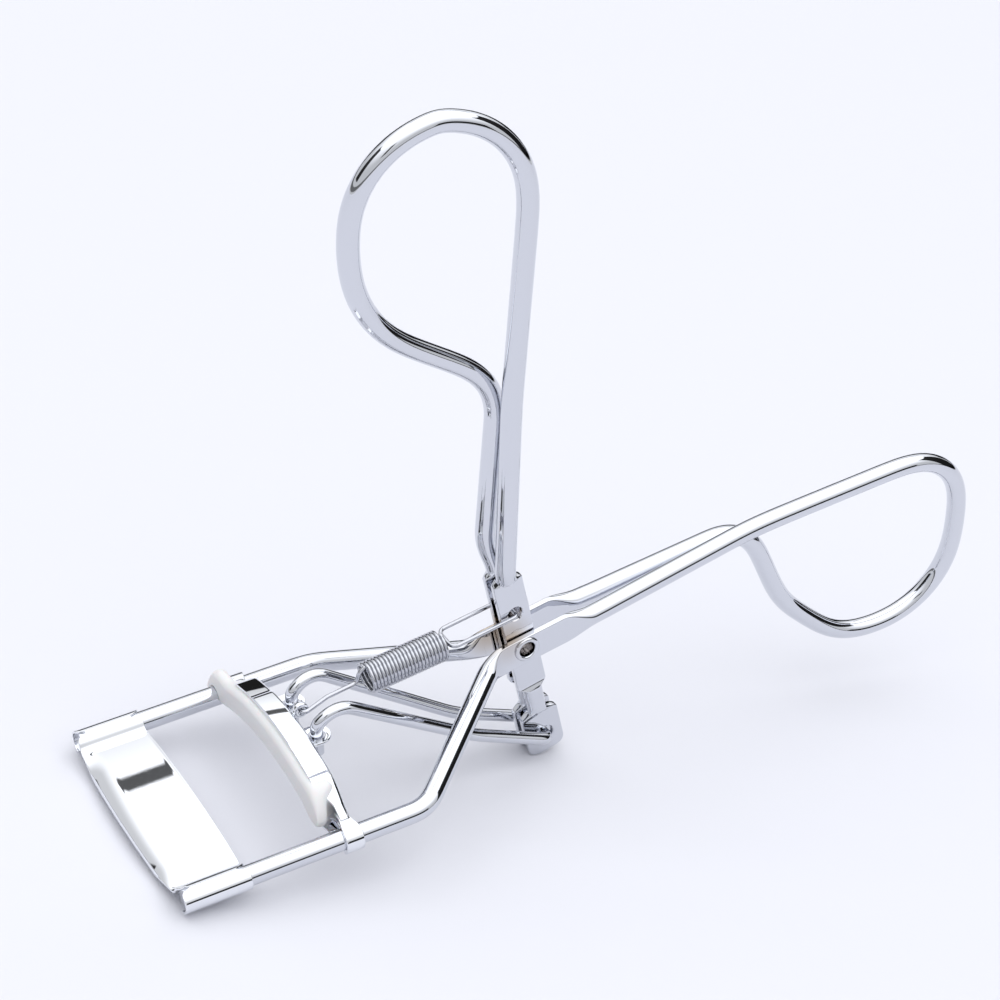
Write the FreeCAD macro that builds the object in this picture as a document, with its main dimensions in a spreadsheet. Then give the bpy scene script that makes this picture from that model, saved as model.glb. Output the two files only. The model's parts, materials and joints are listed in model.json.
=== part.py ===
import FreeCAD, Part
import Sketcher
import math
import os

from FreeCAD import Placement, Rotation, Vector

# Eyelash curler.
#
# Design frame: origin on the pivot axis, +X toward the finger loop, +Y across the
# jaws, +Z up, the two jaw rails parallel to X. Every sub-part is built in this frame
# and then set down together on the surface that it rests on: the jaw plate and the
# foot of the thumb lever touch it, so the whole object leans nose down a little.

SIZES = {
    # wires
    "wire_d": 2.5,
    "rod_d": 1.6,
    "spring_wire_d": 0.55,
    # jaw rails, part of the frame wire
    "rail_half_gap": 15.0,
    "rail_drop": 6.05,
    "rail_tip": 50.5,
    "rail_bend": 20.5,
    "rail_bend_r": 5.0,
    # flattened ears where the wires cross at the pivot
    "ear_thick": 0.8,
    "ear_gap": 0.15,
    "crossing_gap": 0.24,
    "lever_ear_y": 1.0,
    "frame_ear_w": 3.9,
    "lever_ear_w": 3.9,
    # hollow pivot rivet
    "rivet_d": 2.5,
    "rivet_bore_d": 1.9,
    "rivet_head_d": 3.4,
    "rivet_head_t": 0.35,
    "running_gap": 0.06,
    # thumb lever, measured along its straight lower leg
    "lever_lean": 11.7,
    "lever_foot": 15.7,
    "lever_foot_w": 5.0,
    "lever_foot_end": 0.7,
    "lever_flat_up": 10.8,
    "lever_flat_down": 7.2,
    "lever_foot_flat": 11.6,
    "shank_overlap": 1.2,
    "spring_hole_up": 5.1,
    "spring_hole_d": 2.0,
    # jaw plate
    "jaw_width": 8.0,
    "jaw_overhang": 0.4,
    "jaw_thick": 0.6,
    "jaw_crown": 1.6,
    "jaw_rim": 1.6,
    # slider, at rest
    "slider_x": 31.0,
    "slider_drop": 1.8,
    "slider_crown": 3.6,
    "slider_depth": 2.8,
    "slider_height": 4.8,
    "slider_skin": 0.4,
    "clip_width": 2.4,
    "clip_wall": 0.7,
    "lug_y": 3.3,
    "lug_z": -0.9,
    "lug_width": 3.6,
    "lug_reach": 2.4,
    "pin_play": 0.35,
    "lug_pin_low": -3.4,
    "spring_tab_x": 0.8,
    "spring_tab_z": 0.9,
    "tab_thick": 0.7,
    "tab_height": 4.2,
    "tab_depth": 3.2,
    "tab_edge": 0.85,
    "tab_hole_d": 1.1,
    # silicone pad
    "pad_proud": 0.7,
    "pad_half_length": 13.0,
    # return spring
    "coil_d": 4.1,
    "coil_start": 8.3,
    "coil_lift": -0.1,
    "coil_rise": 6.0,
    "coil_length": 10.6,
    "coil_tail_in": 1.5,
    "yoke_d": 0.6,
    "yoke_end": 0.2,
    "yoke_lift": 0.5,
    # how far a cutter runs past the faces that it goes through
    "past": 2.0,
}

doc = FreeCAD.newDocument("eyelash_curler")
sheet = doc.addObject("Spreadsheet::Sheet", "sizes")
for row, (alias, value) in enumerate(SIZES.items(), start=1):
    sheet.set("A%d" % row, alias)
    sheet.set("B%d" % row, str(value))
    sheet.setAlias("B%d" % row, alias)
doc.recompute()


def size(alias):
    return float(sheet.get(alias))


# --------------------------------------------------------------------------
# Shape helpers
# --------------------------------------------------------------------------

PIVOT = Vector(0, 0, 0)


def bent_path(corners, radii):
    """Straight runs through the corners, joined by tangent arcs of the given radii."""
    edges = []
    start = corners[0]
    for before, corner, after, radius in zip(corners, corners[1:], corners[2:], radii):
        back = (before - corner).normalize()
        ahead = (after - corner).normalize()
        half_turn = (math.pi - back.getAngle(ahead)) / 2
        reach = radius * math.tan(half_turn)
        centre = corner + (back + ahead).normalize() * (radius / math.cos(half_turn))
        middle = centre + (corner - centre).normalize() * radius
        edges.append(Part.LineSegment(start, corner + back * reach).toShape())
        edges.append(Part.Arc(corner + back * reach, middle, corner + ahead * reach).toShape())
        start = corner + ahead * reach
    edges.append(Part.LineSegment(start, corners[-1]).toShape())
    return Part.Wire(edges)


def round_wire(path, diameter):
    """A solid round wire along the path."""
    first = path.OrderedEdges[0]
    start = first.valueAt(first.FirstParameter)
    circle = Part.makeCircle(diameter / 2, start, first.tangentAt(first.FirstParameter))
    return path.makePipeShell([Part.Wire([circle])], True, False)


def ear(start, end, width, y):
    """A flat stadium-shaped ear in an XZ plane, centred on y, from start to end."""
    along = (end - start).normalize()
    side = Vector(-along.z, 0, along.x) * (width / 2)
    half = size("ear_thick") / 2
    a, b = start + side, end + side
    c, d = end - side, start - side
    tip = end + along * (width / 2)
    tail = start - along * (width / 2)
    outline = Part.Wire([
        Part.LineSegment(a, b).toShape(),
        Part.Arc(b, tip, c).toShape(),
        Part.LineSegment(c, d).toShape(),
        Part.Arc(d, tail, a).toShape(),
    ])
    face = Part.Face(outline)
    face.translate(Vector(0, y - half, 0))
    return face.extrude(Vector(0, 2 * half, 0))


def cross_hole(centre, diameter, y):
    """A short cutter along Y through the ear at y."""
    reach = size("ear_thick")
    start = Vector(centre.x, y - reach, centre.z)
    return Part.makeCylinder(diameter / 2, 2 * reach, start, Vector(0, 1, 0))


def on_lever(distance):
    """The point on the lever's straight lower leg, up from the pivot by distance."""
    lean = math.radians(size("lever_lean"))
    return Vector(-math.sin(lean), 0, math.cos(lean)) * distance


def at_y(point, y):
    return Vector(point.x, y, point.z)


def both_sides(near):
    """The corners of a symmetric U: the near arm, then the far arm back again."""
    return near + [at_y(corner, -corner.y) for corner in reversed(near)]


def add_shape(name, shape):
    """A sub-part whose shape comes from the functions above."""
    feature = doc.addObject("Part::Feature", name)
    feature.Label = name
    feature.Shape = shape
    return feature


# --------------------------------------------------------------------------
# Frame wire: finger loop, two ears on the pivot, two splayed jaw rails
# --------------------------------------------------------------------------

def frame_wire():
    wire_d = size("wire_d")
    gap_y = size("rail_half_gap")
    rail_z = -size("rail_drop")
    ear_y = size("lever_ear_y") + size("ear_thick") + size("ear_gap")
    ear_front, ear_back = Vector(-3.2, 0, -0.8), Vector(4.6, 0, 0.6)
    side = wire_d / 2 + size("crossing_gap") / 2

    # the loop, from the near ear round to the far ear, crossing the middle plane
    loop = bent_path([
        Vector(6.0, -ear_y, 0.75),
        Vector(11.5, -ear_y + 0.3, 1.45),
        Vector(33.1, -side, 5.5),
        Vector(66.3, -0.9, 7.1),
        Vector(66.6, -0.2, -19.6),
        Vector(49.6, 0.6, -19.5),
        Vector(40.0, side, -10.4),
        Vector(33.8, side, 4.1),
        Vector(11.5, ear_y - 0.3, 1.45),
        Vector(6.0, ear_y, 0.75),
    ], [20, 40, 10, 11, 10, 12, 6.5, 20])
    solid = round_wire(loop, wire_d)

    # a flat ear on each side, with a rail that splays out from it to the jaw
    for sign in (-1, 1):
        rail = bent_path([
            at_y(ear_front, sign * ear_y) + Vector(-1.0, 0, -0.2),
            at_y(ear_front, sign * (ear_y + 0.5)) + Vector(-2.1, 0, -0.55),
            Vector(-size("rail_bend"), sign * gap_y, rail_z),
            Vector(-size("rail_tip"), sign * gap_y, rail_z),
        ], [2.5, size("rail_bend_r")])
        plate = ear(ear_front, ear_back, size("frame_ear_w"), sign * ear_y)
        solid = solid.fuse(round_wire(rail, wire_d)).fuse(plate)
        solid = solid.cut(cross_hole(PIVOT, size("rivet_d"), sign * ear_y))
    return solid.removeSplitter()


# --------------------------------------------------------------------------
# Thumb lever: a second loop whose legs pass between the frame's ears
# --------------------------------------------------------------------------

def lever_wire():
    wire_d = size("wire_d")
    ear_y = size("lever_ear_y")
    side = wire_d / 2 + size("crossing_gap") / 2
    top = on_lever(size("lever_flat_up"))

    loop = bent_path([
        at_y(top, -ear_y) + Vector(0.25, 0, -1.2),
        at_y(top, -ear_y) + Vector(-0.35, 0, 1.4),
        Vector(-1.6, -side, 35.2),
        Vector(1.5, -side + 0.2, 71.3),
        Vector(-20.3, 0.0, 71.3),
        Vector(-20.1, 0.8, 49.3),
        Vector(-1.8, side, 36.7),
        Vector(-3.4, side + 0.5, 14.6),
        at_y(top, ear_y) + Vector(-0.35, 0, 1.4),
        at_y(top, ear_y) + Vector(0.25, 0, -1.2),
    ], [6, 60, 11, 11, 16, 8.5, 8, 4])
    solid = round_wire(loop, wire_d)

    # each leg: a flat across the pivot, a short round shank and a flat foot
    width, overlap, fit = size("lever_ear_w"), size("shank_overlap"), 2 * size("running_gap")
    shank_start = -size("lever_foot_flat") - overlap
    shank_end = -size("lever_flat_down") + overlap
    foot_end = -size("lever_foot") - size("lever_foot_end")
    for y in (-ear_y, ear_y):
        flat = ear(on_lever(width / 2 - size("lever_flat_down")),
                   on_lever(size("lever_flat_up") - width / 2), width, y)
        foot = ear(on_lever(shank_start), on_lever(foot_end), size("lever_foot_w"), y)
        shank = Part.makeCylinder(wire_d / 2, shank_end - shank_start,
                                  at_y(on_lever(shank_start), y), on_lever(1))
        solid = solid.fuse(flat).fuse(foot).fuse(shank)
        for distance, hole_d in ((0, size("rivet_d") + fit),
                                 (-size("lever_foot"), size("rod_d") + fit),
                                 (size("spring_hole_up"), size("spring_hole_d"))):
            solid = solid.cut(cross_hole(on_lever(distance), hole_d, y))
    return solid.removeSplitter()


# --------------------------------------------------------------------------
# Push rod: a U of thin wire from the lever's foot to the slider's two lugs
# --------------------------------------------------------------------------

def push_rod():
    foot = on_lever(-size("lever_foot"))
    rod_d = size("rod_d")
    arm_y = size("lever_ear_y") + size("ear_thick") / 2 + size("ear_gap") + rod_d / 2
    bend_r = rod_d * 0.65
    lug_x = -size("slider_x") + size("slider_depth") / 2 + size("lug_reach") / 2
    near = [
        Vector(lug_x, -size("lug_y"), size("lug_pin_low")),
        Vector(lug_x, -size("lug_y"), 0.8),
        Vector(lug_x + 2.7, -size("lug_y") - 0.2, 2.9),
        Vector(-7.2, -arm_y, -10.4),
        Vector(foot.x, -arm_y - 0.15, foot.z),
    ]
    path = bent_path(both_sides(near), [1.5, 3.0, 20, bend_r, bend_r, 20, 3.0, 1.5])
    return round_wire(path, rod_d)


# --------------------------------------------------------------------------
# Return spring: straight tail, close-wound coil and the yoke that hooks on the lever
# --------------------------------------------------------------------------

def spring_points():
    """The slider's hook, the coil's two ends and the lever's hook, on the middle plane."""
    hook = Vector(-size("slider_x") + size("slider_depth") / 2 + size("spring_tab_x"), 0,
                  size("spring_tab_z"))
    head = on_lever(size("spring_hole_up"))
    rise = math.radians(size("coil_rise"))
    coil_start = hook + (head - hook).normalize() * size("coil_start")
    coil_start.z += size("coil_lift")
    coil_end = coil_start + Vector(math.cos(rise), 0, math.sin(rise)) * size("coil_length")
    return hook, coil_start, coil_end, head


def spring_tail():
    """The spring's straight end: through the slider's tab, then on to the first coil."""
    hook, coil_start, coil_end, _ = spring_points()
    clear = size("tab_thick") / 2 + 1.5 * size("spring_wire_d")
    path = bent_path([
        hook + Vector(0, 1.5 * clear, 0),
        hook + Vector(0, -clear, 0),
        hook + (coil_start - hook) * 0.5,
        coil_start,
        coil_start + (coil_end - coil_start).normalize() * size("coil_tail_in"),
    ], [0.45, 2.5, 1.5])
    return round_wire(path, size("spring_wire_d"))


def spring_coil():
    """The close-wound coil, as the sleeve that its turns fill."""
    _, start, end, _ = spring_points()
    outer = Part.makeCylinder(size("coil_d") / 2, size("coil_length"), start, end - start)
    inner = Part.makeCylinder(size("coil_d") / 2 - size("spring_wire_d"),
                              size("coil_length"), start, end - start)
    return outer.cut(inner)


def spring_yoke():
    """A fork of wire from the coil's last turn, hooked inward through both lever ears."""
    _, coil_start, coil_end, head = spring_points()
    cross = coil_end + (coil_end - coil_start).normalize() * (size("yoke_d") / 2)
    cross.z += size("yoke_lift")
    ear_face = size("lever_ear_y") + size("ear_thick") / 2
    arm_y = ear_face + size("ear_gap") + size("yoke_d") / 2
    end_y = ear_face - size("ear_thick") - size("yoke_end")
    near = [
        at_y(head, -end_y),
        at_y(head, -arm_y),
        at_y(cross, -arm_y),
    ]
    path = bent_path(both_sides(near), [0.4, 0.9, 0.9, 0.4])
    return round_wire(path, size("yoke_d"))


# --------------------------------------------------------------------------
# Bodies bound to the sheet
# --------------------------------------------------------------------------

X_AXIS, Y_AXIS, Z_AXIS = Vector(1, 0, 0), Vector(0, 1, 0), Vector(0, 0, 1)


def bind(feature, **expressions):
    for field, expression in expressions.items():
        feature.setExpression(field.replace("__", "."), expression)
    return feature


def box(name, x, y, z, length, width, height):
    feature = doc.addObject("Part::Box", name)
    return bind(feature, Placement__Base__x=x, Placement__Base__y=y, Placement__Base__z=z,
                Length=length, Width=width, Height=height)


def cylinder(name, axis, x, y, z, radius, height):
    feature = doc.addObject("Part::Cylinder", name)
    feature.Placement = Placement(Vector(), Rotation(Vector(0, 0, 1), axis))
    return bind(feature, Placement__Base__x=x, Placement__Base__y=y, Placement__Base__z=z,
                Radius=radius, Height=height)


def fuse(name, *shapes):
    feature = doc.addObject("Part::MultiFuse", name)
    feature.Shapes = list(shapes)
    feature.Refine = True
    return feature


def cut(name, base, *tools):
    feature = doc.addObject("Part::Cut", name)
    feature.Base = base
    feature.Tool = tools[0] if len(tools) == 1 else fuse(name + "_cutters", *tools)
    feature.Refine = True
    return feature


CROWN_RADIUS = "((sizes.rail_half_gap ^ 2 + %s ^ 2) / (2 * %s))"
JAW_Z = "(-sizes.rail_drop - sizes.wire_d / 2 - sizes.jaw_thick / 2 + sizes.jaw_crown)"
SLIDER_Z = "(-sizes.slider_drop)"
SLIDER_FRONT = "(-sizes.slider_x - sizes.slider_depth / 2)"
SLIDER_BACK = "(-sizes.slider_x + sizes.slider_depth / 2)"
LUG_HOLE_X = SLIDER_BACK + " + sizes.lug_reach / 2"
SPRING_TAB_HOLE_X = SLIDER_BACK + " + sizes.spring_tab_x"


def crowned_section(body, name, x, crown, middle_z, height, half_length):
    """A band across the jaws, highest in the middle, drawn in the plane at x."""
    sketch = body.newObject("Sketcher::SketchObject", name)
    plane = [f for f in body.Origin.OriginFeatures if f.Role == "YZ_Plane"][0]
    sketch.AttachmentSupport = (plane, [""])
    sketch.MapMode = "FlatFace"
    sketch.setExpression("AttachmentOffset.Base.z", x)

    crown_radius = CROWN_RADIUS % (crown, crown)
    radius = float(sketch.evalExpression(crown_radius))
    thick = float(sketch.evalExpression(height))
    reach = float(sketch.evalExpression(half_length))
    centre = Vector(0, float(sketch.evalExpression(middle_z)) - radius, 0)
    arcs = []
    for arc_radius in (radius - thick / 2, radius + thick / 2):
        half = math.asin(reach / arc_radius)
        circle = Part.Circle(centre, Vector(0, 0, 1), arc_radius)
        arcs.append(Part.ArcOfCircle(circle, math.pi / 2 - half, math.pi / 2 + half))
    inner, outer = [sketch.addGeometry(arc, False) for arc in arcs]
    left = sketch.addGeometry(Part.LineSegment(arcs[0].StartPoint, arcs[1].StartPoint), False)
    right = sketch.addGeometry(Part.LineSegment(arcs[0].EndPoint, arcs[1].EndPoint), False)

    start, end, middle = 1, 2, 3
    origin, upright = (-1, 1), -2
    for constraint in (
        ("Coincident", inner, start, left, start),
        ("Coincident", outer, start, left, end),
        ("Coincident", inner, end, right, start),
        ("Coincident", outer, end, right, end),
        ("Coincident", inner, middle, outer, middle),
        ("Vertical", left),
        ("Vertical", right),
        ("Symmetric", outer, start, outer, end, upright),
    ):
        sketch.addConstraint(Sketcher.Constraint(*constraint))
    for field, constraint, expression in (
        ("inner_r", ("Radius", inner, radius - thick / 2), "%s - %s / 2" % (crown_radius, height)),
        ("outer_r", ("Radius", outer, radius + thick / 2), "%s + %s / 2" % (crown_radius, height)),
        ("span", ("DistanceX", outer, end, outer, start, 2 * reach), "2 * " + half_length),
        ("depth", ("DistanceY", inner, middle, *origin, -centre.y),
         "%s - %s" % (crown_radius, middle_z)),
    ):
        index = sketch.addConstraint(Sketcher.Constraint(*constraint))
        sketch.renameConstraint(index, field)
        sketch.setExpression("Constraints." + field, expression)
    return sketch


def crowned_bar(name, x, depth, crown, middle_z, height, half_length):
    """A bar across the jaws with a crowned section, run along X by depth from x."""
    body = doc.addObject("PartDesign::Body", name)
    pad = body.newObject("PartDesign::Pad", name + "_run")
    pad.Profile = crowned_section(body, name + "_section", x, crown, middle_z,
                                  height, half_length)
    pad.setExpression("Length", depth)
    return body


# --------------------------------------------------------------------------
# Jaw plate, slider and pad
# --------------------------------------------------------------------------

def jaw_plate():
    """A thin crowned plate under the rails, its two ends rolled up round their tips."""
    plate = crowned_bar("jaw_web", "-sizes.rail_tip - sizes.jaw_overhang",
                        "sizes.jaw_width", "sizes.jaw_crown", JAW_Z, "sizes.jaw_thick",
                        "sizes.rail_half_gap")
    rim = crowned_bar("jaw_rim", "-sizes.rail_tip - sizes.jaw_overhang + sizes.jaw_width"
                      " - sizes.jaw_thick", "sizes.jaw_thick", "sizes.jaw_crown",
                      JAW_Z + " + (sizes.jaw_rim - sizes.jaw_thick) / 2", "sizes.jaw_rim",
                      "(sizes.rail_half_gap - sizes.wire_d / 2)")
    rolls, bores = [], []
    for side, sign in (("near", "-"), ("far", "")):
        y = sign + "sizes.rail_half_gap"
        rolls.append(cylinder("jaw_roll_" + side, X_AXIS,
                              "-sizes.rail_tip - sizes.jaw_overhang", y, "-sizes.rail_drop",
                              "sizes.wire_d / 2 + sizes.jaw_thick", "sizes.jaw_width"))
        bores.append(cylinder("jaw_bore_" + side, X_AXIS,
                              "-sizes.rail_tip", y, "-sizes.rail_drop",
                              "sizes.wire_d / 2", "sizes.jaw_width * 2"))
    return cut("jaw_plate", fuse("jaw_blank", plate, rim, *rolls), *bores)


def slider_bar():
    """A shallow tray open toward the jaw, with an eye on each rail and two rear lugs."""
    blank = crowned_bar("slider_blank", SLIDER_FRONT, "sizes.slider_depth",
                        "sizes.slider_crown", SLIDER_Z, "sizes.slider_height", "sizes.rail_half_gap")
    tray = crowned_bar("slider_tray", SLIDER_FRONT + " - sizes.past",
                       "sizes.slider_depth - sizes.slider_skin + sizes.past",
                       "sizes.slider_crown", SLIDER_Z,
                       "(sizes.slider_height - 2 * sizes.slider_skin)", "sizes.pad_half_length")
    solids, cutters = [blank], [tray]
    for side, sign in (("near", "-"), ("far", "")):
        y = sign + "sizes.rail_half_gap"
        solids.append(cylinder("eye_" + side, X_AXIS, "-sizes.slider_x - sizes.clip_width / 2",
                               y, "-sizes.rail_drop",
                               "sizes.wire_d / 2 + sizes.running_gap + sizes.clip_wall",
                               "sizes.clip_width"))
        cutters.append(cylinder("eye_bore_" + side, X_AXIS, "-sizes.slider_x - sizes.clip_width", y,
                                "-sizes.rail_drop", "sizes.wire_d / 2 + sizes.running_gap",
                                "2 * sizes.clip_width"))
        lug_y = sign + "sizes.lug_y"
        solids.append(box("lug_" + side, SLIDER_BACK + " - sizes.slider_skin / 2",
                          lug_y + " - sizes.lug_width / 2", "sizes.lug_z",
                          "sizes.lug_reach", "sizes.lug_width", "sizes.slider_skin"))
        cutters.append(cylinder("lug_hole_" + side, Z_AXIS, LUG_HOLE_X, lug_y,
                                "sizes.lug_z - sizes.past",
                                "sizes.rod_d / 2 + sizes.pin_play",
                                "sizes.slider_skin + 2 * sizes.past"))
    solids.append(box("spring_tab", SLIDER_BACK + " - sizes.slider_skin / 2",
                      "-sizes.tab_thick / 2", "sizes.spring_tab_z - sizes.tab_depth",
                      "sizes.spring_tab_x + sizes.slider_skin / 2 + sizes.tab_edge",
                      "sizes.tab_thick", "sizes.tab_height"))
    cutters.append(cylinder("spring_tab_hole", Y_AXIS, SPRING_TAB_HOLE_X, "-sizes.past",
                            "sizes.spring_tab_z", "sizes.tab_hole_d / 2", "2 * sizes.past"))
    return cut("slider_bar", fuse("slider_solids", *solids), *cutters)


def silicone_pad():
    """The strip that presses the lashes against the jaw plate's rear edge."""
    pad = crowned_bar("silicone_pad", SLIDER_FRONT + " - sizes.pad_proud",
                      "sizes.pad_proud + sizes.slider_depth - sizes.slider_skin",
                      "sizes.slider_crown", SLIDER_Z,
                      "(sizes.slider_height - 2 * sizes.slider_skin)", "sizes.pad_half_length")
    return pad


def pivot_rivet():
    """A hollow rivet through all four ears, with a rolled head on each side."""
    outer = "(sizes.lever_ear_y + sizes.ear_thick * 1.5 + sizes.ear_gap)"
    shank = cylinder("rivet_shank", Y_AXIS, "0", "-" + outer, "0",
                     "sizes.rivet_d / 2", "2 * " + outer)
    heads = []
    for side, start in (("near", "-%s - sizes.rivet_head_t" % outer), ("far", outer)):
        heads.append(cylinder("rivet_head_" + side, Y_AXIS, "0", start, "0",
                              "sizes.rivet_head_d / 2", "sizes.rivet_head_t"))
    bore = cylinder("rivet_bore", Y_AXIS, "0", "-10", "0", "sizes.rivet_bore_d / 2", "20")
    return cut("pivot_rivet", fuse("rivet_solid", shank, *heads), bore)


# --------------------------------------------------------------------------
# Assembly, set down on its resting surface
# --------------------------------------------------------------------------

def resting_placement(parts):
    """Lean the object until jaw roll and lever foot touch the floor, and centre it."""
    roll_x = -size("rail_tip") - size("jaw_overhang")
    roll_z = -size("rail_drop") - size("wire_d") / 2 - size("jaw_thick")
    foot = on_lever(-size("lever_foot") - size("lever_foot_end"))
    run, drop = foot.x - roll_x, roll_z - foot.z
    foot_r = size("lever_foot_w") / 2
    lean = math.atan2(drop, run) + math.asin(foot_r / math.hypot(run, drop))
    turn = Rotation(Vector(0, 1, 0), -math.degrees(lean))

    bounds = FreeCAD.BoundBox()
    for part in parts:
        leaned = part.Shape.copy()
        leaned.Placement = Placement(Vector(), turn).multiply(leaned.Placement)
        bounds.add(leaned.optimalBoundingBox())
    middle = bounds.Center
    return Placement(Vector(-middle.x, -middle.y, -bounds.ZMin), turn)


def check(feature):
    if {"Invalid", "Error"} & set(feature.State):
        raise RuntimeError("%s did not compute: %s" % (feature.Name, feature.State))


parts = [
    add_shape("frame_wire", frame_wire()),
    jaw_plate(),
    pivot_rivet(),
    add_shape("lever_wire", lever_wire()),
    add_shape("push_rod", push_rod()),
    slider_bar(),
    silicone_pad(),
    add_shape("spring_tail", spring_tail()),
    add_shape("spring_coil", spring_coil()),
    add_shape("spring_yoke", spring_yoke()),
]
doc.recompute()
for feature in doc.Objects:
    check(feature)
placement = resting_placement(parts)
for part in parts:
    part.Placement = placement
doc.recompute()

os.makedirs("parts", exist_ok=True)
for part in parts:
    check(part)
    if part.Shape.isNull() or not part.Shape.isValid():
        raise RuntimeError(part.Label + " has no valid shape")
    part.Shape.exportStep("parts/%s.step" % part.Label)
    print("%-14s %d solid, %8.2f mm3" % (part.Label, len(part.Shape.Solids), part.Shape.Volume))
print("placed by", placement)
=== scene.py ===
import json
import math

import bmesh
import bpy
import numpy as np
from mathutils import Matrix, Vector


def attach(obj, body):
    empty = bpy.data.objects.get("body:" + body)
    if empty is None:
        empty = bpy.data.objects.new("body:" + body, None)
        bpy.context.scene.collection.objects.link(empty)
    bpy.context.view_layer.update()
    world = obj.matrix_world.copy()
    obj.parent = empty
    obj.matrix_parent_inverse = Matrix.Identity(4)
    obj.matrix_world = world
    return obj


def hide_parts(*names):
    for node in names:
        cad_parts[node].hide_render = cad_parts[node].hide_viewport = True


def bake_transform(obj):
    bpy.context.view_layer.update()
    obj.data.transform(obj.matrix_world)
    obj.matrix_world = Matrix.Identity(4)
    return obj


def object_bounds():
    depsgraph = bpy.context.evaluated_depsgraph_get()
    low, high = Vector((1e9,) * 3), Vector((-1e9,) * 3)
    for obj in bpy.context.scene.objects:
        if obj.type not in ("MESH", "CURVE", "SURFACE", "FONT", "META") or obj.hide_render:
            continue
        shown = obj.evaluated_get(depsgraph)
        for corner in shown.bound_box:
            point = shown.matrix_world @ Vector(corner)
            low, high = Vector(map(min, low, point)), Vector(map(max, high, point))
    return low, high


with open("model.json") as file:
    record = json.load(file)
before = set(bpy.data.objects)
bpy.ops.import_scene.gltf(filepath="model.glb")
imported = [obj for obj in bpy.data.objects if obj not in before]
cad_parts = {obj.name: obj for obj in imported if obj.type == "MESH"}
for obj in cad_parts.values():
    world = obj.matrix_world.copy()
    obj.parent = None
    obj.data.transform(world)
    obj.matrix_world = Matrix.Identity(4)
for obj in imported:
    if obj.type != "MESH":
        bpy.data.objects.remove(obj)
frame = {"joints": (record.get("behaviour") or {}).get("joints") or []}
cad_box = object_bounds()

# Eyelash curler, its looks.
#
# Pieces are built in millimetres in the mechanism frame: origin on the pivot axis,
# +X toward the finger loop, +Y across the jaws, +Z up, rails parallel to X. The
# packed joints say where that frame lies, and TO_ROW carries a piece there.

JOINTS = {joint["name"]: joint for joint in frame["joints"]}
MM = 0.001


def mechanism_frame():
    along = -Vector(JOINTS["slider_travel"]["axis"])
    across = Vector(JOINTS["lever_pivot"]["axis"])
    turn = Matrix((along, across, along.cross(across))).transposed()
    place = Matrix.Translation(Vector(JOINTS["lever_pivot"]["pos_m"]))
    return place @ turn.to_4x4() @ Matrix.Scale(MM, 4)


TO_ROW = mechanism_frame()

# Sizes, in millimetres. Y and Z are where a middle lies, HALF and WIDE are half sizes.
WIRE_R = 1.25
ROD_R = 0.8
SPRING_R = 0.275
YOKE_R = 0.3
EAR_HALF = 0.4
EAR_WIDE = 1.95
FOOT_WIDE = 2.5
LEVER_EAR_Y = 1.0
FRAME_EAR_Y = 1.95
RAIL_Y = 15.0
RAIL_Z = -6.05
RAIL_TIP = -50.5
LEVER_LEAN = math.radians(11.7)
LEVER_FOOT = -15.7
SPRING_HOLE = 5.1
LEVER_FOOT_END = -18.4
JAW_FRONT = -50.9
JAW_WIDTH = 8.0
SLIDER_X = -31.0
SLIDER_CROWN, SLIDER_MID_Z = 3.6, -1.8
TRAY_DEEP, TRAY_HIGH, SKIN = 2.8, 4.8, 0.4
LUG_OUT, LUG_Y = 1.2, 3.3
SPRING_HOOK_OUT, SPRING_HOOK_Z = 0.8, 0.9
COIL_R = 2.05
COIL_START, COIL_DROP, COIL_RISE, COIL_LENGTH = 8.3, 0.1, math.radians(6), 10.6

# The inner faces of the push rod's and the yoke's arms, outside the lever's ears
ARM_Y = LEVER_EAR_Y + EAR_HALF + 0.15
# The middles of two legs where one passes the other
CROSSING = WIRE_R + 0.12

# Edges that turn by more degrees than this are shaded sharp
SHARP = 35
SHEET_SHARP = 50


# --------------------------------------------------------------------------
# Mesh helpers
# --------------------------------------------------------------------------

def unit(vector):
    return vector / np.linalg.norm(vector)


def step01(value, low, high):
    """0 below low, 1 above high, smooth between."""
    t = np.clip((np.asarray(value, float) - low) / (high - low), 0, 1)
    return t * t * (3 - 2 * t)


def resample(points, step):
    points = np.array(points, float)
    run = np.r_[0, np.cumsum(np.linalg.norm(np.diff(points, axis=0), axis=1))]
    at = np.linspace(0, run[-1], max(2, int(run[-1] / step) + 1))
    return np.array([np.interp(at, run, points[:, k]) for k in range(points.shape[1])]).T


def softened(line, rounds):
    """Eases a line's corners: each point moves toward its two neighbours."""
    for _ in range(rounds):
        line[1:-1] = (line[:-2] + 2 * line[1:-1] + line[2:]) / 4
    return line


ARC_POINTS = 24


def bent_path(corners, radii, step, soften=6):
    """Points along straight runs joined by arcs, with each bend eased in and out."""
    corners = [np.array(c, float) for c in corners]
    points = [corners[0]]
    for before, corner, after, radius in zip(corners, corners[1:], corners[2:], radii):
        back, ahead = unit(before - corner), unit(after - corner)
        half_turn = (math.pi - math.acos(np.clip(back @ ahead, -1, 1))) / 2
        centre = corner + unit(back + ahead) * radius / math.cos(half_turn)
        a = corner + back * radius * math.tan(half_turn) - centre
        b = corner + ahead * radius * math.tan(half_turn) - centre
        for t in np.linspace(0, 1, ARC_POINTS):
            turned = a * math.sin((1 - t) * 2 * half_turn) + b * math.sin(t * 2 * half_turn)
            points.append(centre + turned / math.sin(2 * half_turn))
    points.append(corners[-1])
    return softened(resample(points, step), soften)


def eased(path, share, rounds):
    """Rounds the path's bends off further, in place, where share is 1."""
    for _ in range(rounds):
        path[1:-1] += share[1:-1, None] * (path[:-2] + path[2:] - 2 * path[1:-1]) / 4


def flipped(near):
    """The same corners on the far side, in the order that leads back."""
    return [(x, -y, z) for x, y, z in reversed(near)]


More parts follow.
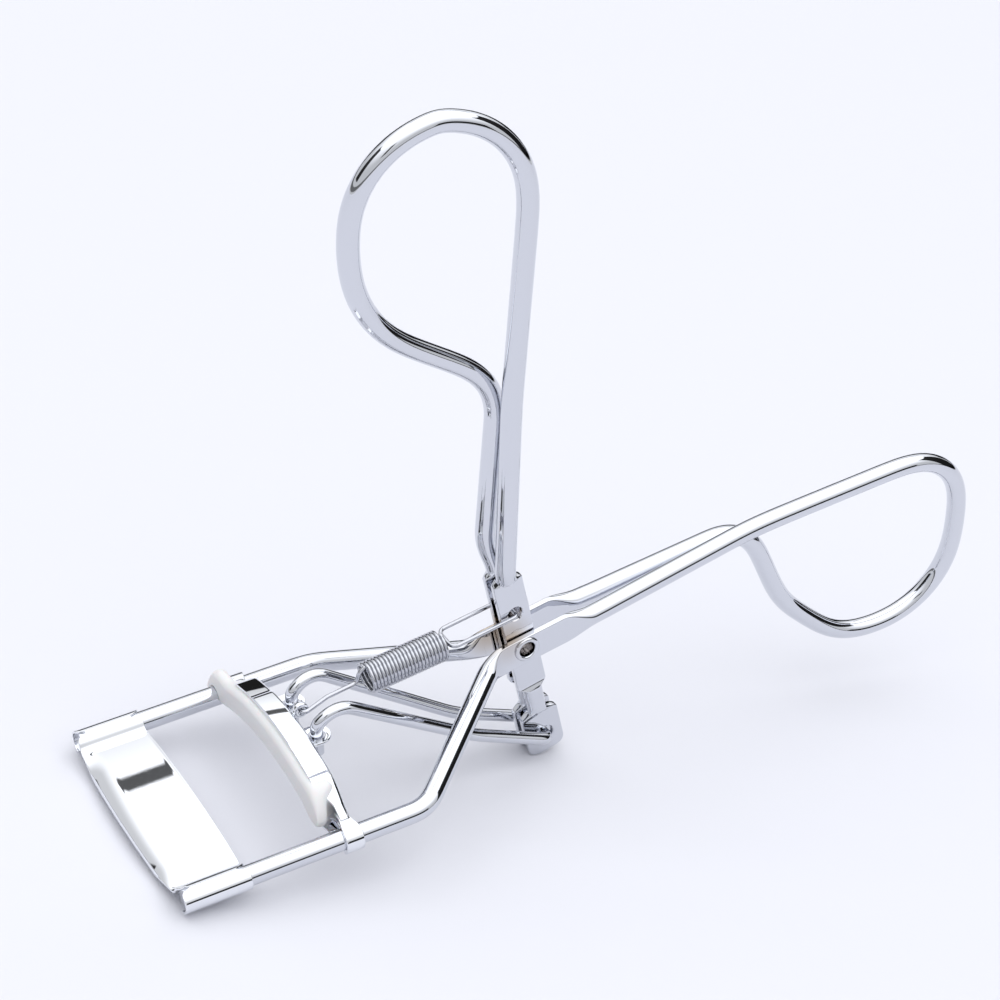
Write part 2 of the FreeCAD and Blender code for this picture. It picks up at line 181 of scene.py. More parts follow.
def mirrored(near):
    """The corners of a U that is symmetric about the middle plane."""
    return list(near) + flipped(near)


def tangents(path):
    return np.array([unit(t) for t in np.gradient(path, axis=0)])


# A direction that none of the wires starts along
NO_AXIS = (0.31, 0.87, 0.38)


def carried_sides(path):
    """A side direction at each point, carried along the path without twisting."""
    along = tangents(path)
    side = unit(np.cross(along[0], NO_AXIS))
    sides = []
    for tangent in along:
        side = unit(side - (side @ tangent) * tangent)
        sides.append(side)
    return along, np.array(sides)


def hinted_sides(path, hint):
    """A side direction at each point, as near to the hint as it can be."""
    along = tangents(path)
    hint = np.array(hint, float)
    return along, np.array([unit(hint - (hint @ t) * t) for t in along])


# Points in each quarter of a bar's section
QUARTER = 10


def bar_section(half_thick, half_wide, corner):
    """A section from round to flat: a box of those half sizes with that corner radius."""
    index = np.arange(4 * QUARTER)
    quarter = index // QUARTER
    flatness = np.clip(1 - corner / max(half_thick, half_wide), 0, 1) ** 0.25
    even = (index + 0.5) / (4 * QUARTER) * 2 * math.pi
    cornered = (quarter + (index % QUARTER) / (QUARTER - 1)) * math.pi / 2
    angle = even * (1 - flatness) + cornered * flatness
    mid = (quarter + 0.5) * math.pi / 2
    centre_t = np.sign(np.cos(mid)) * (half_thick - corner)
    centre_w = np.sign(np.sin(mid)) * (half_wide - corner)
    return np.stack([centre_t + corner * np.cos(angle),
                     centre_w + corner * np.sin(angle)], 1)


def mesh_object(name, vertices, faces, sharp):
    mesh = bpy.data.meshes.new(name)
    mesh.from_pydata([tuple(v) for v in vertices], [], faces)
    bm = bmesh.new()
    bm.from_mesh(mesh)
    bmesh.ops.remove_doubles(bm, verts=bm.verts, dist=1e-5)
    bmesh.ops.recalc_face_normals(bm, faces=bm.faces)
    bm.to_mesh(mesh)
    bm.free()
    mesh.transform(TO_ROW)
    obj = bpy.data.objects.new(name, mesh)
    bpy.context.scene.collection.objects.link(obj)
    smooth(obj, sharp)
    return obj


def smooth(obj, sharp):
    obj.data.polygons.foreach_set("use_smooth", [True] * len(obj.data.polygons))
    obj.data.set_sharp_from_angle(angle=math.radians(sharp))


def loft(name, rings, caps=True, sharp=SHARP):
    """A skin through equal closed rings of points."""
    count = len(rings[0])
    faces = []
    for i in range(len(rings) - 1):
        for j in range(count):
            k = (j + 1) % count
            faces.append((i * count + j, i * count + k,
                          (i + 1) * count + k, (i + 1) * count + j))
    if caps:
        faces.append(tuple(range(count)))
        faces.append(tuple((len(rings) - 1) * count + j for j in range(count)))
    return mesh_object(name, np.concatenate(rings), faces, sharp)


def sweep(name, path, sides, sections):
    """A skin through sections set square on the path, turned to its sides."""
    along, side = sides
    rings = []
    for point, tangent, out, section in zip(path, along, side, sections):
        rings.append(point + section[:, :1] * out + section[:, 1:] * np.cross(tangent, out))
    return loft(name, rings)


# A wire's tips are rounded off over this share of its radius, from this share of the
# way in, so that no ring shrinks to a point
TIP, TIP_START = 0.25, 0.25


def round_wire(name, path, radius, segments):
    run = np.r_[0, np.cumsum(np.linalg.norm(np.diff(path, axis=0), axis=1))]
    to_end = np.minimum(run, run[-1] - run)
    into = np.clip(to_end / (radius * TIP) + TIP_START, 0, 1)
    scale = np.sqrt(1 - (1 - into) ** 2)
    angle = np.arange(segments) / segments * 2 * math.pi
    circle = np.stack([np.cos(angle), np.sin(angle)], 1) * radius
    return sweep(name, path, carried_sides(path), [circle * s for s in scale])


def lathe(name, profile, y, centre, segments, sharp=SHARP):
    """A closed (radius, y) profile turned about an axis parallel to Y through centre."""
    rings = []
    for angle in np.arange(segments) / segments * 2 * math.pi:
        rings.append(np.array([(centre[0] + r * math.cos(angle), y + dy,
                                centre[2] + r * math.sin(angle)) for r, dy in profile]))
    rings.append(rings[0])
    return loft(name, rings, caps=False, sharp=sharp)


def applied(obj):
    """Bakes the object's modifiers into its mesh."""
    graph = bpy.context.evaluated_depsgraph_get()
    mesh = bpy.data.meshes.new_from_object(obj.evaluated_get(graph))
    obj.modifiers.clear()
    obj.data = mesh
    return obj


def joined(name, objects):
    """The objects as one, which the first of them becomes."""
    meshes = bmesh.new()
    for obj in objects:
        meshes.from_mesh(obj.data)
    first = objects[0]
    meshes.to_mesh(first.data)
    meshes.free()
    for obj in objects[1:]:
        bpy.data.objects.remove(obj)
    first.name = name
    return first


def bevelled(obj, width, segments=2, limit=50):
    """Breaks a sheet's edges where they turn by more than limit degrees."""
    bevel = obj.modifiers.new("edges", "BEVEL")
    bevel.width = width * MM
    bevel.segments = segments
    bevel.angle_limit = math.radians(limit)
    applied(obj)
    smooth(obj, SHEET_SHARP)


def drill_with(obj, cutter):
    """Takes the cutter out of the object."""
    boolean = obj.modifiers.new("holes", "BOOLEAN")
    boolean.operation = "DIFFERENCE"
    boolean.solver = "MANIFOLD"
    boolean.object = cutter
    applied(obj)
    bpy.data.objects.remove(cutter)


def drilled(obj, holes):
    """Cuts a hole with a broken edge through the ear at each (centre, radius, y)."""
    past, broken, on_axis = 0.5, 0.12, 0.001
    far, edge = EAR_HALF + past, EAR_HALF - broken
    cutters = []
    for centre, radius, y in holes:
        mouth = radius + past + broken
        profile = [(on_axis, -far), (mouth, -far), (radius, -edge),
                   (radius, edge), (mouth, far), (on_axis, far)]
        cutters.append(lathe("cutter", profile, y, centre, 48))
    drill_with(obj, joined("cutter", cutters))
    smooth(obj, SHARP)


def weighted(obj):
    """The object, with its flat faces shaded flat up to their rounded edges."""
    modifier = obj.modifiers.new("normals", "WEIGHTED_NORMAL")
    modifier.keep_sharp = True
    return obj


# --------------------------------------------------------------------------
# Materials
# --------------------------------------------------------------------------

def ramp(nodes, links, value, low, high, to_low, to_high, curve="SMOOTHSTEP"):
    """The socket of a node that carries low..high of the value to to_low..to_high."""
    node = nodes.new("ShaderNodeMapRange")
    node.interpolation_type = curve
    for field, number in (("From Min", low), ("From Max", high),
                          ("To Min", to_low), ("To Max", to_high)):
        node.inputs[field].default_value = number
    links.new(value, node.inputs["Value"])
    return node.outputs["Result"]


# A darker brown tint on the chrome round the pivot: where, its colour, its share, and how
# far out it fades
PIVOT_TINT_AT = (-2.5, 0.8, 1.5)
PIVOT_TINT_COLOUR = (0.42, 0.35, 0.27)
PIVOT_TINT_SHARE = 0.8
PIVOT_TINT_FADE = (1.5 * MM, 5.0 * MM)


def material(name, colour, metallic, rough_low, rough_high, grain, bump_mm,
             pivot_tinted=False, **settings):
    """A procedural finish: roughness and a faint bump both follow a noise of grain mm."""
    made = bpy.data.materials.new(name)
    made.use_nodes = True
    nodes, links = made.node_tree.nodes, made.node_tree.links
    shader = nodes["Principled BSDF"]
    shader.inputs["Base Color"].default_value = (*colour, 1)
    shader.inputs["Metallic"].default_value = metallic
    for field, value in settings.items():
        shader.inputs[field.replace("_", " ")].default_value = value

    place = nodes.new("ShaderNodeTexCoord")
    noise = nodes.new("ShaderNodeTexNoise")
    noise.inputs["Scale"].default_value = 1 / (grain * MM)
    noise.inputs["Detail"].default_value = 4
    links.new(place.outputs["Object"], noise.inputs["Vector"])
    rough = ramp(nodes, links, noise.outputs["Fac"], 0.3, 0.7, rough_low, rough_high,
                 "LINEAR")
    links.new(rough, shader.inputs["Roughness"])
    bump = nodes.new("ShaderNodeBump")
    bump.inputs["Distance"].default_value = bump_mm * MM
    links.new(noise.outputs["Fac"], bump.inputs["Height"])
    links.new(bump.outputs["Normal"], shader.inputs["Normal"])
    # The colour is darkened toward brown round the pivot
    if pivot_tinted:
        links.new(pivot_tint(nodes, links, place, colour), shader.inputs["Base Color"])
    return made


def pivot_tint(nodes, links, place, colour):
    """The finish's colour, darkened toward brown round the pivot."""
    away = nodes.new("ShaderNodeVectorMath")
    away.operation = "DISTANCE"
    away.inputs[1].default_value = TO_ROW @ Vector(PIVOT_TINT_AT)
    links.new(place.outputs["Object"], away.inputs[0])
    share = ramp(nodes, links, away.outputs["Value"], *PIVOT_TINT_FADE, PIVOT_TINT_SHARE, 0.0)
    mix = nodes.new("ShaderNodeMix")
    mix.data_type = "RGBA"
    mix.inputs["A"].default_value = (*colour, 1)
    mix.inputs["B"].default_value = (*PIVOT_TINT_COLOUR, 1)
    links.new(share, mix.inputs["Factor"])
    return mix.outputs["Result"]


# Name, colour, metallic, least and most roughness, the noise's grain and bump in mm
# The chrome's colour is darkened toward brown round the pivot
CHROME = material("chrome", (0.66, 0.675, 0.72), 1, 0.02, 0.06, 2.5, 0.003,
                  pivot_tinted=True)
SHEET = material("sheet_chrome", (0.82, 0.835, 0.87), 1, 0.015, 0.04, 1.2, 0.001)
SPRING = material("spring_steel", (0.52, 0.53, 0.57), 1, 0.08, 0.2, 0.6, 0.003)
SILICONE = material("silicone", (0.77, 0.765, 0.765), 0, 0.34, 0.5, 0.35, 0.006,
                    Subsurface_Weight=0.15, Subsurface_Scale=0.002)


def finish_piece(obj, finish, slot, body, *nodes):
    """Gives a piece its finish and its body, and hides the CAD nodes it stands for. Its
    slot is not used.
    """
    obj.data.materials.clear()
    obj.data.materials.append(finish)
    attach(obj, body)
    if nodes:
        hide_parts(*nodes)
    return obj


# --------------------------------------------------------------------------
# Wires and rivet
# --------------------------------------------------------------------------

def on_lever(distance, y=0.0):
    """A place up the lever's legs, by its distance from the pivot."""
    return (-math.sin(LEVER_LEAN) * distance, y, math.cos(LEVER_LEAN) * distance)


def morph(low, high, share):
    """The sizes of a section that is share of the way from low to high."""
    return [a * (1 - share) + b * share for a, b in zip(low, high)]


ROUND = (WIRE_R, WIRE_R, WIRE_R)


def frame_wire():
    """Rail, ear, leg, finger loop, and back by the other leg, ear and rail."""
    ear = (EAR_HALF, EAR_WIDE, 0.15)
    path = bent_path([
        (RAIL_TIP, -RAIL_Y, RAIL_Z), (-20.5, -RAIL_Y, RAIL_Z),
        (-5.3, -FRAME_EAR_Y - 0.5, -1.35), (-3.2, -FRAME_EAR_Y, -0.8),
        (6.0, -FRAME_EAR_Y, 0.75), (11.5, -FRAME_EAR_Y + 0.3, 1.45),
        (33.1, -CROSSING, 5.5), (66.3, -0.9, 7.1), (66.6, -0.2, -19.6),
        (49.6, 0.6, -19.5), (40.0, CROSSING, -10.4), (33.8, CROSSING, 4.1),
        (11.5, FRAME_EAR_Y - 0.3, 1.45), (6.0, FRAME_EAR_Y, 0.75),
        (-3.2, FRAME_EAR_Y, -0.8), (-5.3, FRAME_EAR_Y + 0.5, -1.35),
        (-20.5, RAIL_Y, RAIL_Z), (RAIL_TIP, RAIL_Y, RAIL_Z),
    ], [5, 2.5, 8, 20, 20, 40, 10, 11, 10, 12, 6.5, 20, 20, 8, 2.5, 5], 0.3)
    eased(path, step01(path[:, 0], 26, 38), 110)
    flat = step01(path[:, 0], -5.9, -2.9) * (1 - step01(path[:, 0], 5.4, 9.5))
    sections = [bar_section(*morph(ROUND, ear, share)) for share in flat]
    wire = sweep("frame_wire_chrome", path, hinted_sides(path, (0, 1, 0)), sections)
    drilled(wire, [((0, 0, 0), 1.22, y) for y in (-FRAME_EAR_Y, FRAME_EAR_Y)])
    return finish_piece(weighted(wire), CHROME, "wire_chrome", "frame", "frame_wire")


def lever_wire():
    """Foot, ear, leg, thumb loop, and back by the other leg, ear and foot."""
    flat_ear, foot = (EAR_HALF, EAR_WIDE, 0.12), (EAR_HALF, FOOT_WIDE, 0.12)
    shank = (WIRE_R - 0.4, WIRE_R, WIRE_R - 0.4)
    foot_corner = 1.2
    near = [on_lever(LEVER_FOOT_END, -LEVER_EAR_Y), on_lever(10.3, -LEVER_EAR_Y),
            on_lever(11.9, -CROSSING)]
    path = bent_path(near + [
        (-1.6, -CROSSING, 35.2), (1.5, -CROSSING + 0.2, 71.3), (-20.3, 0.0, 71.3),
        (-20.1, 0.8, 49.3), (-1.8, CROSSING, 36.7), (-3.4, CROSSING + 0.4, 14.6),
    ] + flipped(near), [1.2, 3, 60, 11, 11, 16, 8.5, 8, 3, 1.2], 0.2)
    eased(path, step01(path @ np.array(on_lever(1)), 28, 40), 240)
    # How far up the leg each point lies, once the bends have been eased
    up = path @ np.array(on_lever(1))
    sections = []
    for u in up:
        middle = step01(u, -7.7, -6.7) * (1 - step01(u, 10.2, 10.9))
        low = 1 - step01(u, -12.2, -11.1)
        around = morph(shank, ROUND, step01(u, 8, 11))
        shape = morph(morph(around, flat_ear, middle), foot, low)
        into = np.clip(1 - (u - LEVER_FOOT_END) / foot_corner, 0, 1)
        shape[1] -= foot_corner * (1 - math.sqrt(1 - into ** 2))
        sections.append(bar_section(*shape))
    wire = sweep("lever_wire_chrome", path, hinted_sides(path, (0, 1, 0)), sections)
    holes = []
    for y in (-LEVER_EAR_Y, LEVER_EAR_Y):
        holes += [(on_lever(0), 1.31, y), (on_lever(SPRING_HOLE), 0.95, y),
                  (on_lever(LEVER_FOOT), 1.25, y)]
    drilled(wire, holes)
    return finish_piece(weighted(wire), CHROME, "wire_chrome", "lever", "lever_wire")


def pivot_rivet():
    """A hollow rivet whose two rims are rolled outward into rings."""
    face = FRAME_EAR_Y + EAR_HALF
    bore, shank, ring, ring_at, raised, flattened = 1.0, 1.2, 0.3, 1.34, 0.08, 0.8
    rim = []
    for angle in np.linspace(math.radians(-100), math.radians(170), 14):
        rim.append((ring_at + ring * math.cos(angle),
                    face + raised + ring * math.sin(angle) * flattened))
    half = [(shank, 0.0), (shank, face)] + rim + [(bore, face - 0.5), (bore, 0.0)]
    profile = [(r, y) for r, y in half] + [(r, -y) for r, y in reversed(half[1:-1])]
    rivet = lathe("pivot_rivet_tube", profile, 0.0, (0, 0, 0), 72, sharp=50)
    return finish_piece(rivet, CHROME, "wire_chrome", "frame", "pivot_rivet")


def push_rod():
    """Hooked down through a lug, along past the lever's foot, across it and back."""
    arm_y, lug_x = ARM_Y + ROD_R, SLIDER_X + TRAY_DEEP / 2 + LUG_OUT
    foot = on_lever(LEVER_FOOT)
    near = [(lug_x, -LUG_Y, -3.4), (lug_x, -LUG_Y, 0.8), (lug_x + 2.7, -3.5, 2.9),
            (-7.2, -arm_y, -10.4), (foot[0], -arm_y - 0.15, foot[2])]
    path = bent_path(mirrored(near), [1.5, 3, 20, 1.04, 1.04, 20, 3, 1.5], 0.25, 4)
    rod = round_wire("push_rod_wire", path, ROD_R, 24)
    return finish_piece(rod, CHROME, "rod_chrome", "push_rod", "push_rod")


# --------------------------------------------------------------------------
# Jaw plate
# --------------------------------------------------------------------------

def crown_points(half, crown, middle_z, count):
    """An arch across the jaws that would sink by crown at the rails."""
    radius = (RAIL_Y ** 2 + crown ** 2) / (2 * crown)
    y = np.linspace(-half, half, count)
    return np.stack([y, middle_z - radius + np.sqrt(radius ** 2 - y ** 2)], 1)


def jaw_plate():
    """A crowned sheet between the rails' tips, wrapped over and round both of them."""
    thick = 0.28
    wrap = WIRE_R + thick / 2 + 0.03
    middle = crown_points(RAIL_Y - 2.0, 1.1, -5.3, 61)
    turn = np.radians(np.linspace(168, -84, 80))
    far = np.stack([RAIL_Y + wrap * np.cos(turn), RAIL_Z + wrap * np.sin(turn)], 1)
    near = far[::-1] * (-1, 1)
    line = softened(resample(np.concatenate([near, middle, far]), 0.14), 6)
    slope = np.array([unit(t) for t in np.gradient(line, axis=0)])
    normal = np.stack([-slope[:, 1], slope[:, 0]], 1)
    round_rail = np.arctan2(line[:, 1] - RAIL_Z, abs(line[:, 0]) - RAIL_Y)

    lip_drop, lip_deep = 1.2, 2.0
    rim_rise, rim_deep = 0.2, 0.5
    notch_deep, notch_at, notch_wide = 1.2, 1.7, 0.3
    bow = 0.8
    across = np.linspace(0, JAW_WIDTH, 45)
    rings = []
    for (y, z), (ny, nz), angle in zip(line, normal, round_rail):
        inside = 1 - step01(abs(y), RAIL_Y - 6.5, RAIL_Y - 1.0)
        lip = lip_drop * inside * np.clip(1 - across / lip_deep, 0, 1) ** 2
        to_rim = (across - JAW_WIDTH + rim_deep) / rim_deep
        rim = rim_rise * inside * np.clip(to_rim, 0, 1) ** 2
        lift = rim - lip
        on_rail = abs(y) > RAIL_Y - WIRE_R - 0.5
        notch = notch_deep * math.exp(-((angle - notch_at) / notch_wide) ** 2) * on_rail
        front = notch - bow * (1 - min(abs(y) / RAIL_Y, 1) ** 2)
        shrink = across / JAW_WIDTH
        x = JAW_FRONT + front * (1 - shrink) ** 2 + across - notch * shrink ** 2
        top = np.stack([x, y + ny * (lift + thick / 2), z + nz * (lift + thick / 2)], 1)
        low = np.stack([x, y + ny * (lift - thick / 2), z + nz * (lift - thick / 2)], 1)
        rings.append(np.concatenate([top, low[::-1]]))
    plate = loft("jaw_plate_sheet", rings)
    bevelled(plate, 0.08)
    return finish_piece(weighted(plate), SHEET, "plate_chrome", "frame", "jaw_plate")


# --------------------------------------------------------------------------
# Slider
# --------------------------------------------------------------------------

def slider_tray():
    """The channel, open toward the jaw, narrowing toward its two straps."""
    front, back = SLIDER_X - TRAY_DEEP / 2, SLIDER_X + TRAY_DEEP / 2
    line = crown_points(RAIL_Y - 0.9, SLIDER_CROWN, SLIDER_MID_Z, 91)
    rings = []
    for y, z in line:
        narrow = step01(abs(y), 9.6, RAIL_Y - 1.4)
        tall = TRAY_HIGH / 2 * (1 - 0.62 * narrow)
        lip = front + (TRAY_DEEP - 1.3) * step01(abs(y), 10.2, RAIL_Y - 2.2)
        raised = 0.22 * (step01(y, -4.4, -4.1) - step01(y, 5.2, 5.5))
        inner, top = tall - SKIN, z + tall + raised
        rings.append(np.array([
            (lip, y, top), (back - 0.5, y, top), (back - 0.15, y, top - 0.15),
            (back, y, top - 0.5), (back, y, z - tall + 0.45),
            (back - 0.13, y, z - tall + 0.13), (back - 0.45, y, z - tall),
            (lip, y, z - tall), (lip, y, z - inner), (back - SKIN, y, z - inner),
            (back - SKIN, y, z + inner), (lip, y, z + inner),
        ]))
    tray = loft("slider_tray_sheet", rings, sharp=40)
    bevelled(tray, 0.07)
    return finish_piece(weighted(tray), SHEET, "plate_chrome", "slider", "slider_bar")


def slider_strap(sign, name):
    """The tray's end, bent down over the rail and round its outside."""
    thick, wide = 0.22, 1.1
    wrap = WIRE_R + 0.06 + thick
    turn = np.radians(np.linspace(96, -62, 36))
    arc = np.stack([RAIL_Y + wrap * np.cos(turn), RAIL_Z + wrap * np.sin(turn)], 1)
    lead = np.array([(12.6, RAIL_Z + 1.75)])
    line = softened(resample(np.concatenate([lead, arc]), 0.15), 4)
    path = np.stack([np.full(len(line), SLIDER_X + 0.7), line[:, 0] * sign, line[:, 1]], 1)
    run = np.linspace(0, 1, len(path))
    widths = wide * (0.6 + 0.4 * step01(run, 0.1, 0.5))
    sections = [bar_section(w, thick, 0.1) for w in widths]
    strap = sweep(name, path, hinted_sides(path, (1, 0, 0)), sections)
    return finish_piece(weighted(strap), SHEET, "plate_chrome", "slider")


def end_tab(sign, name):
    """The channel's floor, bent flat beside the rail under the pad's end."""
    z = RAIL_Z - 0.3
    corners = [(SLIDER_X - 1.3, 11.4), (SLIDER_X + 0.7, 11.4), (SLIDER_X + 0.7, 13.4),
               (SLIDER_X - 1.0, 13.4)]
    rings = [np.array([(x, y * sign, z + dz) for x, y in corners]) for dz in (0, 0.4)]
    tab = loft(name, rings)
    bevelled(tab, 0.12, 3, 30)
    return finish_piece(weighted(tab), SHEET, "plate_chrome", "slider")


def slider_lug(sign, name):
    """A rounded eye behind the tray that the push rod hooks down through."""
    hole, outer, thick, z = 1.0, 1.7, 0.35, -0.7
    centre = (SLIDER_X + TRAY_DEEP / 2 + LUG_OUT, sign * LUG_Y)
    rings = []
    for angle in np.linspace(0, 2 * math.pi, 65):
        c, s = math.cos(angle), math.sin(angle)
        reach = outer if c > 0 else min(outer / max(abs(s), 0.8), 2.0)
        upper = [(hole, thick / 2), (hole + 0.08, thick / 2 + 0.04),
                 (reach - 0.1, thick / 2 + 0.04), (reach, thick / 2 - 0.08)]
        profile = [(r, -dz) for r, dz in upper] + upper[::-1]
        rings.append(np.array([(centre[0] + r * c, centre[1] + r * s, z + dz)
                               for r, dz in profile]))
    lug = loft(name, rings, caps=False, sharp=45)
    return finish_piece(lug, SHEET, "plate_chrome", "slider")


def spring_eye():
    """The tab's round end, which the spring's tail hooks through."""
    hook = spring_line()[0]
    far_half = [(0.98, 0.27), (0.9, 0.35), (0.58, 0.35), (0.5, 0.27)]
    profile = [(r, -y) for r, y in reversed(far_half)] + far_half
    eye = lathe("slider_spring_eye", profile, 0.0, hook, 40, sharp=50)
    return finish_piece(eye, SHEET, "plate_chrome", "slider")


# --------------------------------------------------------------------------
# Pad and spring
# --------------------------------------------------------------------------

def silicone_pad():
    """The strip in the channel; its far end is pushed on over the rail."""
    start, stop = -12.9, 17.2
    half_high, end_length, thickening = 1.98, 2.1, 0.45
    radius = (RAIL_Y ** 2 + SLIDER_CROWN ** 2) / (2 * SLIDER_CROWN)
    front, back = SLIDER_X - TRAY_DEEP / 2 - 0.8, SLIDER_X + TRAY_DEEP / 2 - SKIN - 0.02
    rings = []
    for y in np.linspace(start, stop, 131):
        z = SLIDER_MID_Z - radius + math.sqrt(radius ** 2 - y ** 2)
        to_end = min(stop - y, y - start)
        round_off = math.sqrt(max(1 - (1 - min(to_end / end_length, 1)) ** 2, 0.002))
        bulge = thickening * math.exp(-((to_end - 2.0) / 1.6) ** 2)
        tall = (half_high + bulge) * round_off
        behind = back - (back - SLIDER_X + 0.55) * float(step01(abs(y), 10.8, 12.2))
        deep = (behind - front) / 2 * (0.6 + 0.4 * round_off)
        section = bar_section(deep, tall, min(tall, deep, 1.0) * 0.95)
        lift = 0.6 * step01(y, 11, 15)
        rings.append(np.stack([front + deep + section[:, 0], np.full(len(section), y),
                               z + lift + section[:, 1]], 1))
    pad = loft("silicone_pad_strip", rings, sharp=80)
    bore = WIRE_R + 0.08
    angle = np.linspace(0, 2 * math.pi, 48, endpoint=False)
    circle = np.stack([0 * angle, RAIL_Y + bore * np.cos(angle),
                       RAIL_Z + bore * np.sin(angle)], 1)
    drill_with(pad, loft("cutter", [circle + (x, 0, 0) for x in (front - 2, back + 2)]))
    smooth(pad, 60)
    finish_piece(pad, SILICONE, "silicone", "slider", "silicone_pad")
    return pad


def spring_line():
    """The slider's hook, the coil's two ends, the lever's hole and the coil's direction."""
    hook = np.array((SLIDER_X + TRAY_DEEP / 2 + SPRING_HOOK_OUT, 0, SPRING_HOOK_Z))
    head = np.array(on_lever(SPRING_HOLE))
    start = hook + unit(head - hook) * COIL_START - (0, 0, COIL_DROP)
    along = np.array((math.cos(COIL_RISE), 0, math.sin(COIL_RISE)))
    return hook, start, start + along * COIL_LENGTH, head, along


def spring_coil():
    """Close turns of wire between the two bodies that its ends belong to, built at rest and
    attached to neither.
    """
    _, start, end, _, along = spring_line()
    turns, radius, per_turn = 22, COIL_R - SPRING_R, 28
    t = np.linspace(0, 1, turns * per_turn + 1)
    inset = SPRING_R * along
    upward = np.cross(along, (0, 1, 0))
    angle = 2 * math.pi * turns * t
    path = (start + inset + np.outer(t, end - start - 2 * inset)
            + radius * np.outer(np.cos(angle), upward)
            + radius * np.outer(np.sin(angle), (0, 1, 0)))
    # A little thinner than the wire, so that the close turns stay apart
    coil = round_wire("spring_coil_wire", path, SPRING_R * 0.84, 12)
    coil.data.materials.append(SPRING)
    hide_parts("spring_coil")
    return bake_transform(coil)


def spring_tail():
    """Hooked through the slider's eye, then straight to the coil's first turn."""
    hook, start, _, _, along = spring_line()
    toward = unit(start - hook)
    top = np.array((0, 0, COIL_R - SPRING_R))
    path = bent_path([
        hook + (0, 1.4, 0), hook + (0, -0.9, 0), hook + toward * 3.5,
        start - toward * 0.9, start + top * 0.75 - toward * 0.5, start + top + along * 0.3,
    ], [0.5, 2.5, 0.8, 0.7], 0.12, 3)
    tail = round_wire("spring_tail_wire", path, SPRING_R, 12)
    return finish_piece(tail, SPRING, "spring_steel", "spring_link", "spring_tail")


def spring_yoke():
    """A fork from the coil's end to the holes in the lever's ears."""
    _, _, end, head, along = spring_line()
    arm_y = ARM_Y + YOKE_R
    cross = end + along * YOKE_R + (0, 0, 0.5)
    near = [(head[0], -0.4, head[2]), (head[0], -arm_y, head[2]),
            (cross[0], -arm_y, cross[2])]
    path = bent_path(mirrored(near), [0.4, 0.9, 0.9, 0.4], 0.12, 3)
    yoke = round_wire("spring_yoke_wire", path, YOKE_R * 0.9, 14)
    return finish_piece(yoke, SPRING, "spring_steel", "spring_yoke", "spring_yoke")


frame_wire()
lever_wire()
pivot_rivet()
push_rod()
jaw_plate()
slider_tray()
for side_sign, side_name in ((-1, "near"), (1, "far")):
    slider_strap(side_sign, "slider_strap_" + side_name)
    slider_lug(side_sign, "slider_lug_" + side_name)
    end_tab(side_sign, "slider_tab_" + side_name)
spring_eye()
silicone_pad()
spring_coil()
spring_tail()
spring_yoke()


# --------------------------------------------------------------------------
# Stage, light and camera
# --------------------------------------------------------------------------

FLOOR_COLOUR = (0.71, 0.715, 0.765)


def floor():
    size, low = 1.5, cad_box[0].z
    mesh = bpy.data.meshes.new("floor")
    corners = [(-size, -size, low), (size, -size, low),
               (size, size, low), (-size, size, low)]
    mesh.from_pydata(corners, [], [(0, 1, 2, 3)])
    obj = bpy.data.objects.new("floor", mesh)
    bpy.context.scene.collection.objects.link(obj)
    made = bpy.data.materials.new("floor")
    made.use_nodes = True
    shader = made.node_tree.nodes["Principled BSDF"]
    shader.inputs["Base Color"].default_value = (*FLOOR_COLOUR, 1)
    shader.inputs["Roughness"].default_value = 0.6
    shader.inputs["Specular IOR Level"].default_value = 0.15
    mesh.materials.append(made)


# Dark gaps between the studio's white walls, as (azimuth, half width, low, high, level),
# the angles in degrees in the row frame. The last goes all round, at the floor's edge.
GAPS = [
    (62, 44, 0, 19, 0.02),
    (66, 32, 37.3, 40.4, 0.08),
    (-126, 5, 20, 34, 0.05),
    (161, 16, 8, 40, 0.04),
    (-9, 21, 0, 44, 0.02),
    (-64, 14, 2, 14, 0.03),
    (0, 181, -1, 3.5, 0.25),
]


GAP_EDGE = math.radians(0.5)
WALL_COLOUR = (0.97, 0.98, 1.0)
# The light's strength low down and overhead, and the heights it changes between
WALL_LEVEL, OVERHEAD_LEVEL = 0.74, 1.9
WALL_TOP, OVERHEAD_FROM = 0.25, 0.90


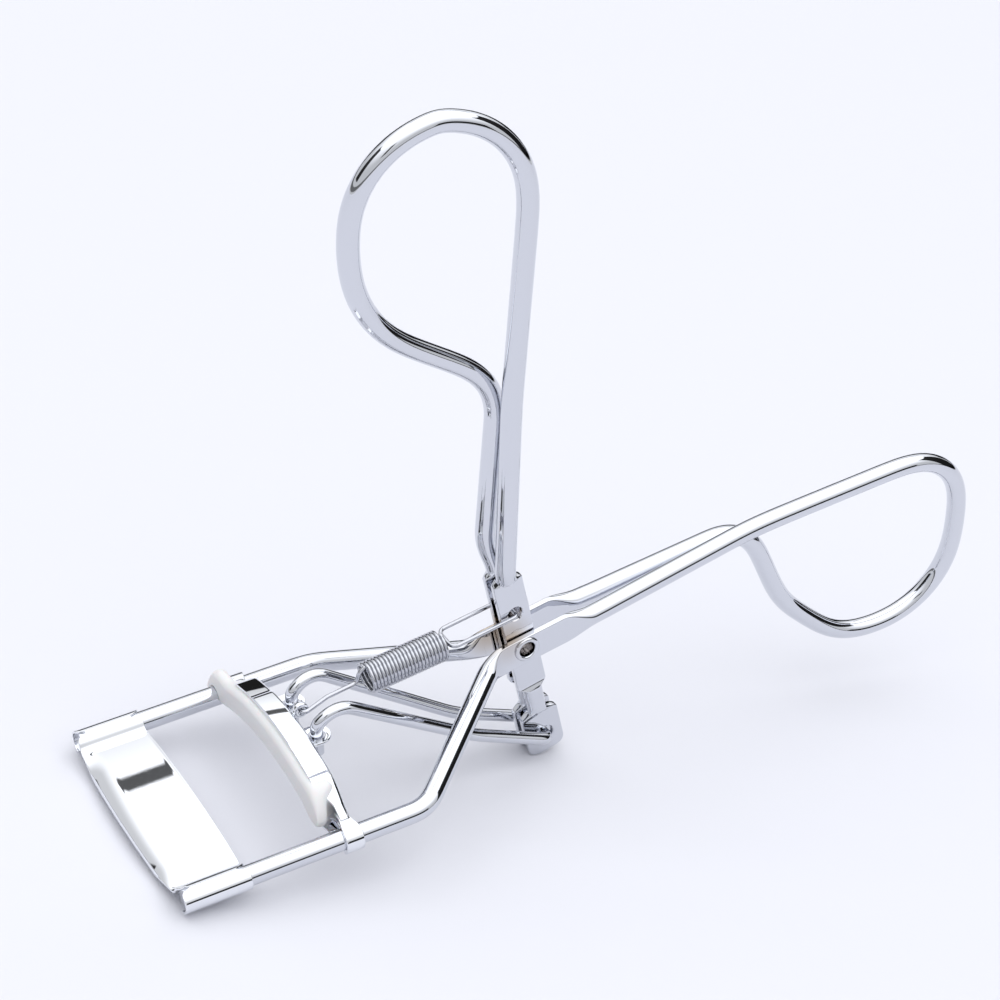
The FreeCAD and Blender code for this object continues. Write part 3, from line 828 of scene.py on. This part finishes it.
def studio():
    world = bpy.data.worlds.new("studio")
    bpy.context.scene.world = world
    world.use_nodes = True
    nodes, links = world.node_tree.nodes, world.node_tree.links
    place = nodes.new("ShaderNodeTexCoord")
    split = nodes.new("ShaderNodeSeparateXYZ")
    links.new(place.outputs["Generated"], split.inputs["Vector"])

    def math_node(operation, *inputs):
        node = nodes.new("ShaderNodeMath")
        node.operation = operation
        for index, value in enumerate(inputs):
            if hasattr(value, "links"):
                links.new(value, node.inputs[index])
            else:
                node.inputs[index].default_value = value
        return node.outputs[0]

    def window(value, low, high):
        up = ramp(nodes, links, value, low - GAP_EDGE, low + GAP_EDGE, 0, 1)
        down = ramp(nodes, links, value, high - GAP_EDGE, high + GAP_EDGE, 0, 1)
        return math_node("SUBTRACT", up, down)

    elevation = math_node("ARCSINE", split.outputs["Z"])
    level = None
    x, y = split.outputs["X"], split.outputs["Y"]
    for azimuth, half, low, high, dark in GAPS:
        c, s = math.cos(math.radians(azimuth)), math.sin(math.radians(azimuth))
        ahead = math_node("ADD", math_node("MULTIPLY", x, c), math_node("MULTIPLY", y, s))
        aside = math_node("SUBTRACT", math_node("MULTIPLY", y, c),
                          math_node("MULTIPLY", x, s))
        turned = math_node("ARCTAN2", aside, ahead)
        mask = math_node("MULTIPLY",
                         window(turned, -math.radians(half), math.radians(half)),
                         window(elevation, math.radians(low), math.radians(high)))
        here = math_node("SUBTRACT", 1.0, math_node("MULTIPLY", mask, 1 - dark))
        level = here if level is None else math_node("MULTIPLY", level, here)
    background = nodes["Background"]
    background.inputs["Color"].default_value = (*WALL_COLOUR, 1)
    overhead = ramp(nodes, links, split.outputs["Z"], WALL_TOP, OVERHEAD_FROM,
                    WALL_LEVEL, OVERHEAD_LEVEL)
    links.new(math_node("MULTIPLY", level, overhead), background.inputs["Strength"])


# The camera's azimuth, elevation and distance from the pivot, in the mechanism frame,
# and how far off centre the pivot lies in the picture
VIEW_AZIMUTH, VIEW_ELEVATION = math.radians(-29.79), math.radians(35.29)
VIEW_DISTANCE, VIEW_RIGHT, VIEW_UP = 297.70, 2.028, -16.563
VIEW_LENS, VIEW_SENSOR = 89.43, 36


def camera():
    a, e = VIEW_AZIMUTH, VIEW_ELEVATION
    right = Vector((math.cos(a), math.sin(a), 0))
    back = Vector((math.sin(a) * math.cos(e), -math.cos(a) * math.cos(e), math.sin(e)))
    up = back.cross(right)
    place = back * VIEW_DISTANCE - right * VIEW_RIGHT - up * VIEW_UP
    turn = TO_ROW.to_3x3().normalized()
    data = bpy.data.cameras.new("camera")
    data.lens, data.sensor_width = VIEW_LENS, VIEW_SENSOR
    data.clip_start, data.clip_end = 0.01, 20
    obj = bpy.data.objects.new("camera", data)
    axes = Matrix((turn @ right, turn @ up, turn @ back)).transposed()
    obj.matrix_world = Matrix.Translation(TO_ROW @ place) @ axes.to_4x4()
    bpy.context.scene.collection.objects.link(obj)
    bpy.context.scene.camera = obj


floor()
studio()
camera()
view = bpy.context.scene.view_settings
view.view_transform = "Standard"
view.look = "None"
